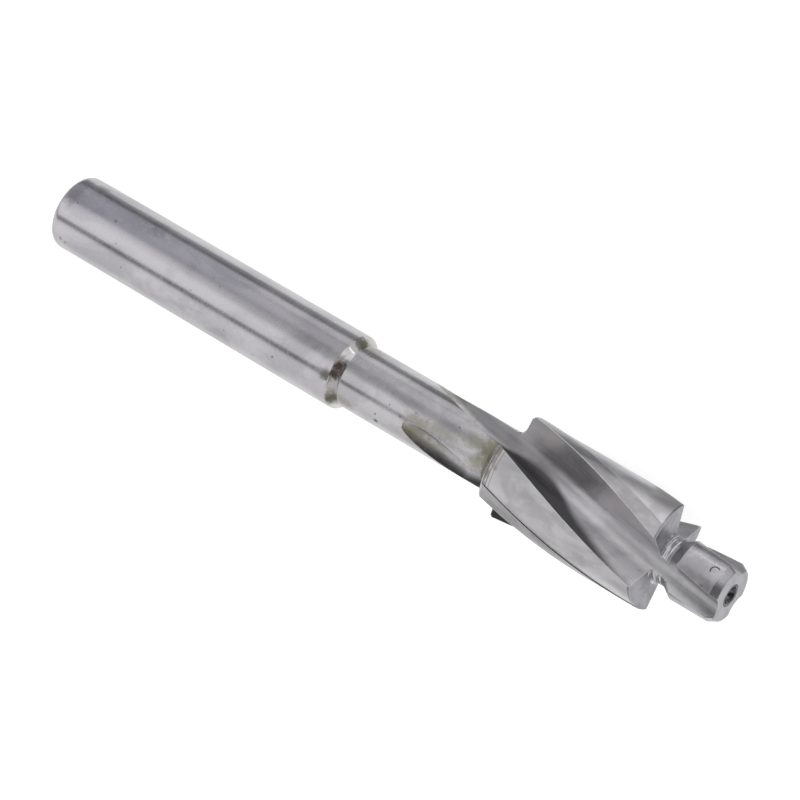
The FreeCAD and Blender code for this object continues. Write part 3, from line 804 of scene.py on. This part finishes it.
def makeSteel(name, look, group):
    material = bpy.data.materials.new(name)
    material.use_nodes = True
    maker = NodeMaker(material.node_tree)
    shader = material.node_tree.nodes["Principled BSDF"]
    where = maker.add("ShaderNodeGroup", node_tree=group).outputs
    place = where["Place"]
    cloudScale = tuple(scale / look["cloud"] for scale in wearAndSheen["cloud"]["scale"])
    grain = maker.noise(grainVector(maker, where, look), detail=2, rough=0.7)
    cloud = maker.noise(maker.stretch(place, cloudScale), detail=4, warp=0.5)
    mottle = maker.noise(maker.stretch(place, (wearAndSheen["mottle"]["scale"],) * 3), detail=3)
    scratch = maker.stretch(place, wearAndSheen["scratch"]["scale"], turn=wearAndSheen["scratch"]["turn"])
    scratch = maker.step(maker.noise(scratch, detail=1, rough=0.5), *wearAndSheen["scratch"]["mark"])
    scratch = maker.math("MULTIPLY", scratch, look["scratches"])
    pit = pitMarks(maker, place, look)

    # base tone: clouds, fine mottling and the lines of the grain
    tone = maker.step(cloud, *wearAndSheen["cloud"]["tone"])
    tone = maker.math("ADD", tone, maker.swing(mottle, wearAndSheen["mottle"]["tone"]))
    lines = maker.swing(grain, look["grainTone"] * wearAndSheen["grain"]["tone"])
    if "grainFrom" in look:
        faint = maker.step(where["Along"], *look["grainFrom"], wearAndSheen["grain"]["faintTone"], 1.0)
        lines = maker.math("MULTIPLY", lines, faint)
    tone = maker.math("ADD", tone, lines, clamp=True)
    colour = maker.mix(tone, (*look["dark"], 1), (*look["light"], 1))
    # painted shade in the flutes
    if "valley" in look:
        colour = shadeFlute(maker, where, look, cloud, colour)
    colour = addRings(maker, where, look, mottle, colour)
    colour = maker.mix(pit, colour, (*wearAndSheen["pit"]["colour"], 1))

    # edges are painted brighter and less metallic: a painted edge highlight, partly standing for wear
    bevel = maker.add("ShaderNodeBevel", {"Radius": wearAndSheen["edge"]["radius"]}, samples=5).outputs[0]
    flat = maker.add("ShaderNodeNewGeometry").outputs["Normal"]
    edgeWearAndHighlight = maker.step(maker.vector("DOT_PRODUCT", bevel, flat), *wearAndSheen["edge"]["mark"], 0.0, look["edge"])
    colour = maker.mix(edgeWearAndHighlight, colour, (*wearAndSheen["edge"]["colour"], 1))

    rough = maker.swing(cloud, look["roughnessSpread"] * 2)
    rough = maker.math("ADD", rough, maker.swing(grain, look["roughnessSpread"] * 2))
    rough = maker.math("ADD", rough, look["roughness"])
    metal = maker.math("MULTIPLY", edgeWearAndHighlight, wearAndSheen["edge"]["metalLoss"])
    metal = maker.math("SUBTRACT", look.get("metal", 1.0), metal)
    ragged = maker.swing(mottle, wearAndSheen["spot"]["ragged"])
    # films and the painted glint laid over the colour
    for film, station, angle, size, strength in look["spots"]:
        tint, stillMetal, filmRough = films[film]
        near = fromSpot(maker, place, look, station, angle, size)
        reach = maker.math("ADD", maker.vector("LENGTH", near), ragged)
        cover = maker.step(reach, *wearAndSheen["spot"]["mark"], 0.0, strength)
        kept = maker.math("SUBTRACT", 1.0, maker.math("MULTIPLY", cover, 1 - stillMetal))
        colour = maker.mix(cover, colour, (*tint, 1))
        rough = maker.math("ADD", rough, maker.math("MULTIPLY", cover, filmRough - look["roughness"]))
        metal = maker.math("MULTIPLY", kept, metal)
    if "curl" in look:
        colour = addCurl(maker, place, look, colour)

    maker.feed(shader.inputs["Base Color"], colour)
    maker.feed(shader.inputs["Roughness"], maker.math("MAXIMUM", rough, wearAndSheen["leastRoughness"]))
    maker.feed(shader.inputs["Metallic"], metal)
    shader.inputs["Anisotropic"].default_value = look["anisotropy"]
    if look["anisotropy"]:
        maker.feed(shader.inputs["Tangent"], where["Across"] if look["grain"] == "helix" else where["Axis"])

    ridge = look["height"] * 0.001      # micrometres to millimetres
    if "grainFrom" in look:
        ridge = maker.step(where["Along"], *look["grainFrom"], ridge * wearAndSheen["grain"]["faintHeight"], ridge)
    height = maker.math("MULTIPLY", grain, ridge)
    height = maker.math("SUBTRACT", height, maker.math("MULTIPLY", scratch, wearAndSheen["scratch"]["depth"]))
    height = maker.math("SUBTRACT", height, maker.math("MULTIPLY", pit, wearAndSheen["pit"]["depth"]))
    height = maker.math("ADD", height, maker.math("MULTIPLY", cloud, wearAndSheen["cloud"]["depth"]))
    bump = maker.add("ShaderNodeBump", {"Distance": mm, "Height": height, "Normal": bevel})
    maker.feed(shader.inputs["Normal"], bump.outputs[0])
    return material


def twistTree(materials):
    # twists the sector along the helix, repeats it round the axis and lays the tool down
    tree = bpy.data.node_groups.new("helicalTool", "GeometryNodeTree")
    face = tree.interface
    face.new_socket("Geometry", in_out="INPUT", socket_type="NodeSocketGeometry")
    sizes = ("Lead", "Flute Start", "Twist Reach", "Merge Distance", "Sharp Angle", "Roll", "Lean", "Scale")
    for name in sizes:
        face.new_socket(name, in_out="INPUT", socket_type="NodeSocketFloat")
    face.new_socket("Teeth", in_out="INPUT", socket_type="NodeSocketInt")
    face.new_socket("Geometry", in_out="OUTPUT", socket_type="NodeSocketGeometry")
    maker = NodeMaker(tree)
    entry = tree.nodes.new("NodeGroupInput").outputs
    position = maker.add("GeometryNodeInputPosition").outputs[0]
    station = maker.add("ShaderNodeSeparateXYZ", {0: position}).outputs["X"]
    beyond = maker.math("SUBTRACT", station, entry["Flute Start"])
    beyond = maker.math("MAXIMUM", beyond, maker.math("MULTIPLY", entry["Twist Reach"], -1.0))
    turn = maker.math("MULTIPLY", maker.math("DIVIDE", beyond, entry["Lead"]), 2 * math.pi)
    twisted = maker.add("ShaderNodeVectorRotate", {"Vector": position, "Angle": turn}, rotation_type="X_AXIS")
    sector = maker.add("GeometryNodeSetPosition", {
        "Geometry": entry["Geometry"], "Position": twisted.outputs[0]})
    places = maker.add("GeometryNodeMeshLine", {"Count": entry["Teeth"], "Offset": (0, 0, 0)})
    index = maker.add("GeometryNodeInputIndex").outputs[0]
    step = maker.math("DIVIDE", maker.math("MULTIPLY", index, -2 * math.pi), entry["Teeth"])
    spin = maker.add("ShaderNodeCombineXYZ", {"X": step}).outputs[0]
    ring = maker.add("GeometryNodeInstanceOnPoints", {
        "Points": places.outputs[0], "Instance": sector.outputs[0], "Rotation": spin})
    whole = maker.add("GeometryNodeRealizeInstances", {0: ring.outputs[0]})
    merged = maker.add("GeometryNodeMergeByDistance", {
        "Geometry": whole.outputs[0], "Distance": entry["Merge Distance"]})
    angle = maker.add("GeometryNodeInputMeshEdgeAngle").outputs[0]
    gentle = maker.add("FunctionNodeCompare", {0: angle, 1: entry["Sharp Angle"]}, operation="LESS_THAN")
    smooth = maker.add("GeometryNodeSetShadeSmooth", {"Geometry": merged.outputs[0], "Shade Smooth": True})
    crisp = maker.add("GeometryNodeSetShadeSmooth", {
        "Geometry": smooth.outputs[0], "Shade Smooth": gentle.outputs[0]}, domain="EDGE")
    roll = maker.add("ShaderNodeCombineXYZ", {"X": entry["Roll"]}).outputs[0]
    rolled = maker.add("GeometryNodeTransform", {"Geometry": crisp.outputs[0], "Rotation": roll})
    lean = maker.add("ShaderNodeCombineXYZ", {"Y": entry["Lean"]}).outputs[0]
    size = maker.add("ShaderNodeCombineXYZ", {axis: entry["Scale"] for axis in "XYZ"}).outputs[0]
    laid = maker.add("GeometryNodeTransform", {
        "Geometry": rolled.outputs[0], "Rotation": lean, "Scale": size})
    last = laid.outputs[0]
    zone = maker.add("GeometryNodeInputNamedAttribute", {"Name": "zone"}, data_type="INT").outputs[0]
    for number, zoneName in enumerate(zones):
        same = maker.add("FunctionNodeCompare", {2: zone, 3: number}, data_type="INT", operation="EQUAL")
        painted = maker.add("GeometryNodeSetMaterial", {"Geometry": last, "Selection": same.outputs[0]})
        painted.inputs["Material"].default_value = materials[zoneSteel[zoneName]]
        last = painted.outputs[0]
    leave = tree.nodes.new("NodeGroupOutput")
    tree.links.new(last, leave.inputs[0])
    return tree


def socketId(tree, name):
    for item in tree.interface.items_tree:
        if item.item_type == "SOCKET" and item.in_out == "INPUT" and item.name == name:
            return item.identifier
    raise KeyError(name)


def meshPoints(mesh):
    points = np.empty(len(mesh.vertices) * 3)
    mesh.vertices.foreach_get("co", points)
    return points.reshape(-1, 3)


def buildTool():
    draft = bpy.data.objects.new("toolDraft", sectorMesh())
    bpy.context.scene.collection.objects.link(draft)
    materials = {name: bpy.data.materials.new(name) for name in steels}
    draft.data.materials.append(materials["shankSteel"])
    modifier = draft.modifiers.new("helicalTool", "NODES")
    modifier.node_group = twistTree(materials)
    inputs = {
        "Lead": flute["lead"], "Flute Start": fluteStart, "Twist Reach": flute["twistReach"],
        "Merge Distance": fineness["mergeDistance"], "Sharp Angle": math.radians(fineness["sharpAngle"]),
        "Roll": math.radians(rest["side"] - 180), "Lean": -math.radians(rest["lean"]),
        "Scale": mm, "Teeth": flute["teeth"],
    }
    for name, value in inputs.items():
        modifier[socketId(modifier.node_group, name)] = value
    bpy.context.view_layer.update()
    graph = bpy.context.evaluated_depsgraph_get()
    finished = draft.evaluated_get(graph)
    mesh = bpy.data.meshes.new_from_object(finished, preserve_all_data_layers=True, depsgraph=graph)
    bpy.data.objects.remove(draft)

    # the finer mesh never stands out of the CAD node's box, stands in the middle of it in X and Y, and rests
    # on its bottom
    points = meshPoints(mesh)
    low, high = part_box(nodeName)
    fit = np.minimum(1, (np.array(high) - np.array(low)) / (points.max(0) - points.min(0)))
    mesh.transform(Matrix.Diagonal((*fit, 1)))
    points = meshPoints(mesh)
    shift = [(low[k] + high[k] - points[:, k].min() - points[:, k].max()) / 2 for k in (0, 1)]
    shift = Vector((*shift, low[2] - points[:, 2].min()))
    mesh.transform(Matrix.Translation(shift))
    piece = bpy.data.objects.new("cutterTool", mesh)
    bpy.context.scene.collection.objects.link(piece)
    return piece, shift


def dressTool(piece, shift):
    group = placeGroup(shift)
    for slot in piece.material_slots:
        plain = slot.material
        slot.material = makeSteel(plain.name, steels[plain.name], group)
        slot.material.name = plain.name + "Finish"


cutter, cutterShift = buildTool()
print("tool built:", len(cutter.data.vertices), "points")
dressTool(cutter, cutterShift)
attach(cutter, "root")
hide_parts(nodeName)
print("tool dressed in", len(cutter.material_slots), "finishes")

# The camera stands where the photo was taken: in metres, degrees, and millimetres for its lens
camera = {
    "location": (0.145038, 0.170707, 0.276062),
    "turn": (-20.6626, 34.3502, 16.1989),
    "lens": 161.913,
    "sensor": 36.0,
    "clip": (0.01, 10),
}


def placeCamera():
    data = bpy.data.cameras.new("camera")
    data.lens = camera["lens"]
    data.sensor_width = camera["sensor"]
    data.sensor_fit = "HORIZONTAL"
    data.clip_start, data.clip_end = camera["clip"]
    eye = bpy.data.objects.new("camera", data)
    eye.location = camera["location"]
    eye.rotation_euler = [math.radians(angle) for angle in camera["turn"]]
    bpy.context.scene.collection.objects.link(eye)
    bpy.context.scene.camera = eye


# Sizes here are in metres; angles go round the tool's axis, from 0 level on the camera's side to
# 90 straight up
studio = {
    "floorSize": 3.0,
    "floorWhite": 0.86,
    "floorFaint": 0.42,    # what the camera sees of the lamps and the shadow
    "floorGlow": 0.8,      # white that the camera sees without any lamp
    "floorMirrored": 0.85,
    "roomLevel": 0.6,
    "patchEdge": (1.2, 0.7),      # a patch begins and is full at these shares of its half sizes
    "boxDistance": 0.5,
    "boxes": {
        "topBox": {"from": 30, "to": 92, "ends": (-0.6, 0.3), "radiance": 0.6, "tint": (0.98, 0.97, 1.0)},
        "sideBox": {"from": 101, "to": 168, "ends": (-0.6, 0.6), "radiance": 0.5, "tint": (1.0, 0.99, 0.98)},
    },
    # cards beside the tool; a patch is its place, its half sizes and its brightness
    "cards": {
        "greyCard": {"y": (0.0124, 0.11), "x": (-0.3, 0.06), "z": 0.0004, "fade": (-0.042, -0.014),
                     "near": (0.48, 0.47, 0.52), "far": (0.72, 0.71, 0.72),
                     "patches": [(-0.03, 0.085, 0.016, 0.03, 0.16), (0.031, 0.041, 0.006, 0.009, 3.2)]},
        "darkCard": {"y": (0.0086, 0.0124), "x": (-0.2, 0.06), "z": 0.0005, "fade": (-0.042, -0.014),
                     "near": (0.13, 0.13, 0.14), "far": (0.2, 0.2, 0.21)},
        "edgeCard": {"y": (0.0064, 0.0086), "x": (-0.2, 0.06), "z": 0.0006, "fade": (-0.042, -0.014),
                     "near": (0.33, 0.33, 0.34), "far": (0.3, 0.3, 0.31)},
        "noseCard": {"y": (-0.002, 0.0064), "x": (0.0285, 0.0335), "z": 0.0003, "fade": (-0.042, -0.014),
                     "near": (0.3, 0.3, 0.31), "far": (0.3, 0.3, 0.31)},
    },
}

# Light tent over the tool, which only reflections show: panels from one angle to the next,
# with a colour towards the shank's end and one towards the head
tent = {
    "radius": 0.11,
    "ends": (-0.36, 0.3),
    "angles": range(-4, 185, 4),
    "rampStart": -10,      # angle at which the ramp of panels begins, and how far it goes
    "rampSpan": 200,
    "fade": (-0.044, -0.035),
    "panels": [
        (-4, (0.42, 0.41, 0.46), (0.8, 0.79, 0.8)),
        (20, (0.42, 0.41, 0.46), (0.78, 0.77, 0.78)),
        (32, (0.36, 0.35, 0.4), (0.7, 0.69, 0.7)),
        (45, (0.84, 0.83, 0.85), (0.46, 0.455, 0.46)),
        (62, (0.9, 0.89, 0.91), (0.44, 0.435, 0.44)),
        (82, (0.88, 0.87, 0.89), (0.56, 0.55, 0.55)),
        (93, (0.84, 0.83, 0.85), (0.5, 0.49, 0.49)),
        (97, (0.07, 0.07, 0.07), (0.12, 0.12, 0.12)),
        (104, (0.07, 0.07, 0.07), (0.12, 0.12, 0.12)),
        (109, (0.86, 0.85, 0.86), (0.74, 0.735, 0.73)),
        (128, (0.86, 0.85, 0.86), (0.62, 0.615, 0.62)),
        (150, (0.8, 0.79, 0.8), (0.52, 0.515, 0.52)),
        (184, (0.74, 0.735, 0.73), (0.56, 0.555, 0.56)),
    ],
    # soft patches: angle, place along X, half sizes of both, brightness
    "patches": [
        (8, -0.05, 22, 0.024, 0.62),
        (45, -0.054, 15, 0.024, 0.34),
        (98, -0.014, 19, 0.03, 0.8),
        (74, -0.031, 24, 0.013, 0.72),
        (75, 0.032, 20, 0.017, 0.1),
        (98, 0.013, 24, 0.014, 0.12),
        (70, 0.1, 27, 0.06, 0.11),
        (109, 0.032, 10, 0.012, 0.14),
        (54, -0.045, 12, 0.01, 0.36),
        (30, 0.008, 24, 0.016, 0.82),
    ],
}


def flatMesh(name, corners):
    mesh = bpy.data.meshes.new(name)
    mesh.from_pydata(corners, [], [tuple(range(len(corners)))])
    plate = bpy.data.objects.new(name, mesh)
    bpy.context.scene.collection.objects.link(plate)
    return plate


def freshMaterial(name):
    material = bpy.data.materials.new(name)
    material.use_nodes = True
    material.node_tree.nodes.clear()
    return material, NodeMaker(material.node_tree)


def grey(level):
    return (level, level, level, 1)


def makeFloor():
    # lit paper under the tool; the camera sees it near white and keeps the shadow
    size = studio["floorSize"]
    floor = flatMesh("floor", [(-size, -size, 0), (size, -size, 0), (size, size, 0), (-size, size, 0)])
    material, maker = freshMaterial("paleFloor")
    paper = maker.add("ShaderNodeBsdfDiffuse", {"Color": grey(studio["floorWhite"])}).outputs[0]
    faint = maker.add("ShaderNodeBsdfDiffuse", {"Color": grey(studio["floorFaint"])}).outputs[0]
    glow, mirrored = (
        maker.add("ShaderNodeEmission", {"Color": grey(1), "Strength": studio[strength]}).outputs[0]
        for strength in ("floorGlow", "floorMirrored"))
    seen = maker.add("ShaderNodeAddShader", {0: faint, 1: glow}).outputs[0]
    path = maker.add("ShaderNodeLightPath").outputs
    near = maker.add("ShaderNodeMixShader", {0: path["Is Glossy Ray"], 1: paper, 2: mirrored}).outputs[0]
    whole = maker.add("ShaderNodeMixShader", {0: path["Is Camera Ray"], 1: near, 2: seen}).outputs[0]
    maker.add("ShaderNodeOutputMaterial", {0: whole})
    floor.data.materials.append(material)


def onlyMirrored(plate):
    for kind in ("visible_camera", "visible_diffuse", "visible_shadow", "visible_transmission"):
        setattr(plate, kind, False)


def makeCard(name, card):
    # a coloured card beside the tool, lighter towards the head
    (x0, x1), (y0, y1), z = card["x"], card["y"], card["z"]
    plate = flatMesh(name, [(x0, y0, z), (x1, y0, z), (x1, y1, z), (x0, y1, z)])
    material, maker = freshMaterial(name)
    point = maker.add("ShaderNodeTexCoord").outputs["Object"]
    along = maker.add("ShaderNodeSeparateXYZ", {0: point}).outputs[0]
    colour = maker.mix(maker.step(along, *card["fade"]), (*card["near"], 1), (*card["far"], 1))
    for x, y, long, wide, level in card.get("patches", []):
        near = maker.stretch(point, (1 / long, 1 / wide, 0), (-x / long, -y / wide, 0))
        cover = maker.step(maker.vector("LENGTH", near), *studio["patchEdge"])
        colour = maker.mix(cover, colour, grey(level))
    glow = maker.add("ShaderNodeEmission", {"Color": colour, "Strength": 1.0}).outputs[0]
    maker.add("ShaderNodeOutputMaterial", {0: glow})
    plate.data.materials.append(material)
    onlyMirrored(plate)


def rampPlace(angle):
    return (angle - tent["rampStart"]) / tent["rampSpan"]


def panelRamp(maker, turn, side):
    # side 1 holds the colours towards the shank's end, side 2 those towards the head
    node = maker.add("ShaderNodeValToRGB", {0: turn})
    stops = node.color_ramp.elements
    stops.remove(stops[-1])
    stops[0].position = rampPlace(tent["panels"][0][0])
    stops[0].color = (*tent["panels"][0][side], 1)
    for panel in tent["panels"][1:]:
        stops.new(rampPlace(panel[0])).color = (*panel[side], 1)
    return node.outputs[0]


def makeTent():
    radius, (x0, x1) = tent["radius"], tent["ends"]
    ring = [math.radians(angle) for angle in tent["angles"]]
    points = [(x, radius * math.cos(turn), radius * math.sin(turn)) for x in (x0, x1) for turn in ring]
    count = len(ring)
    mesh = bpy.data.meshes.new("lightTent")
    mesh.from_pydata(points, [], [(k, k + 1, count + k + 1, count + k) for k in range(count - 1)])
    shell = bpy.data.objects.new("lightTent", mesh)
    bpy.context.scene.collection.objects.link(shell)
    material, maker = freshMaterial("lightTent")
    point = maker.add("ShaderNodeTexCoord").outputs["Object"]
    parts = maker.add("ShaderNodeSeparateXYZ", {0: point}).outputs
    turn = maker.math("ARCTAN2", parts[2], parts[1])
    turn = maker.math("MULTIPLY", turn, 180 / math.pi / tent["rampSpan"])
    turn = maker.math("ADD", turn, rampPlace(0))
    towardsHead = maker.step(parts[0], *tent["fade"])
    colour = maker.mix(towardsHead, panelRamp(maker, turn, 1), panelRamp(maker, turn, 2))
    for angle, along, wide, long, level in tent["patches"]:
        aside = maker.math("DIVIDE", maker.math("SUBTRACT", turn, rampPlace(angle)), wide / tent["rampSpan"])
        ahead = maker.math("DIVIDE", maker.math("SUBTRACT", parts[0], along), long)
        gone = maker.math("ADD", maker.math("POWER", aside, 2.0), maker.math("POWER", ahead, 2.0))
        cover = maker.step(maker.math("SQRT", gone), *studio["patchEdge"])
        colour = maker.mix(cover, colour, grey(level))
    glow = maker.add("ShaderNodeEmission", {"Color": colour, "Strength": 1.0}).outputs[0]
    maker.add("ShaderNodeOutputMaterial", {0: glow})
    mesh.materials.append(material)
    onlyMirrored(shell)


def makeBox(name, box):
    # a long soft box beside the tool's axis
    start, end = math.radians(box["from"]), math.radians(box["to"])
    middle, half = (start + end) / 2, (end - start) / 2
    reach = studio["boxDistance"] * math.cos(half)
    x0, x1 = box["ends"]
    data = bpy.data.lights.new(name, "AREA")
    data.shape = "RECTANGLE"
    data.size = x1 - x0
    data.size_y = 2 * studio["boxDistance"] * math.sin(half)
    data.color = box["tint"]
    data.energy = box["radiance"] * math.pi * data.size * data.size_y
    lamp = bpy.data.objects.new(name, data)
    lamp.location = ((x0 + x1) / 2, reach * math.cos(middle), reach * math.sin(middle))
    lamp.rotation_euler = (middle - math.pi / 2, 0, 0)
    lamp.visible_glossy = False      # the tent stands before it
    bpy.context.scene.collection.objects.link(lamp)


def makeWorld():
    world = bpy.data.worlds.new("studio")
    bpy.context.scene.world = world
    world.use_nodes = True
    world.node_tree.nodes.clear()
    maker = NodeMaker(world.node_tree)
    path = maker.add("ShaderNodeLightPath").outputs
    colour = maker.mix(path["Is Camera Ray"], grey(studio["roomLevel"]), grey(1))
    back = maker.add("ShaderNodeBackground", {"Color": colour, "Strength": 1.0}).outputs[0]
    maker.add("ShaderNodeOutputWorld", {0: back})


placeCamera()
makeFloor()
for cardName, cardPlan in studio["cards"].items():
    makeCard(cardName, cardPlan)
for boxName, boxPlan in studio["boxes"].items():
    makeBox(boxName, boxPlan)
makeTent()
makeWorld()
bpy.context.scene.view_settings.view_transform = "Standard"
print("studio set up")
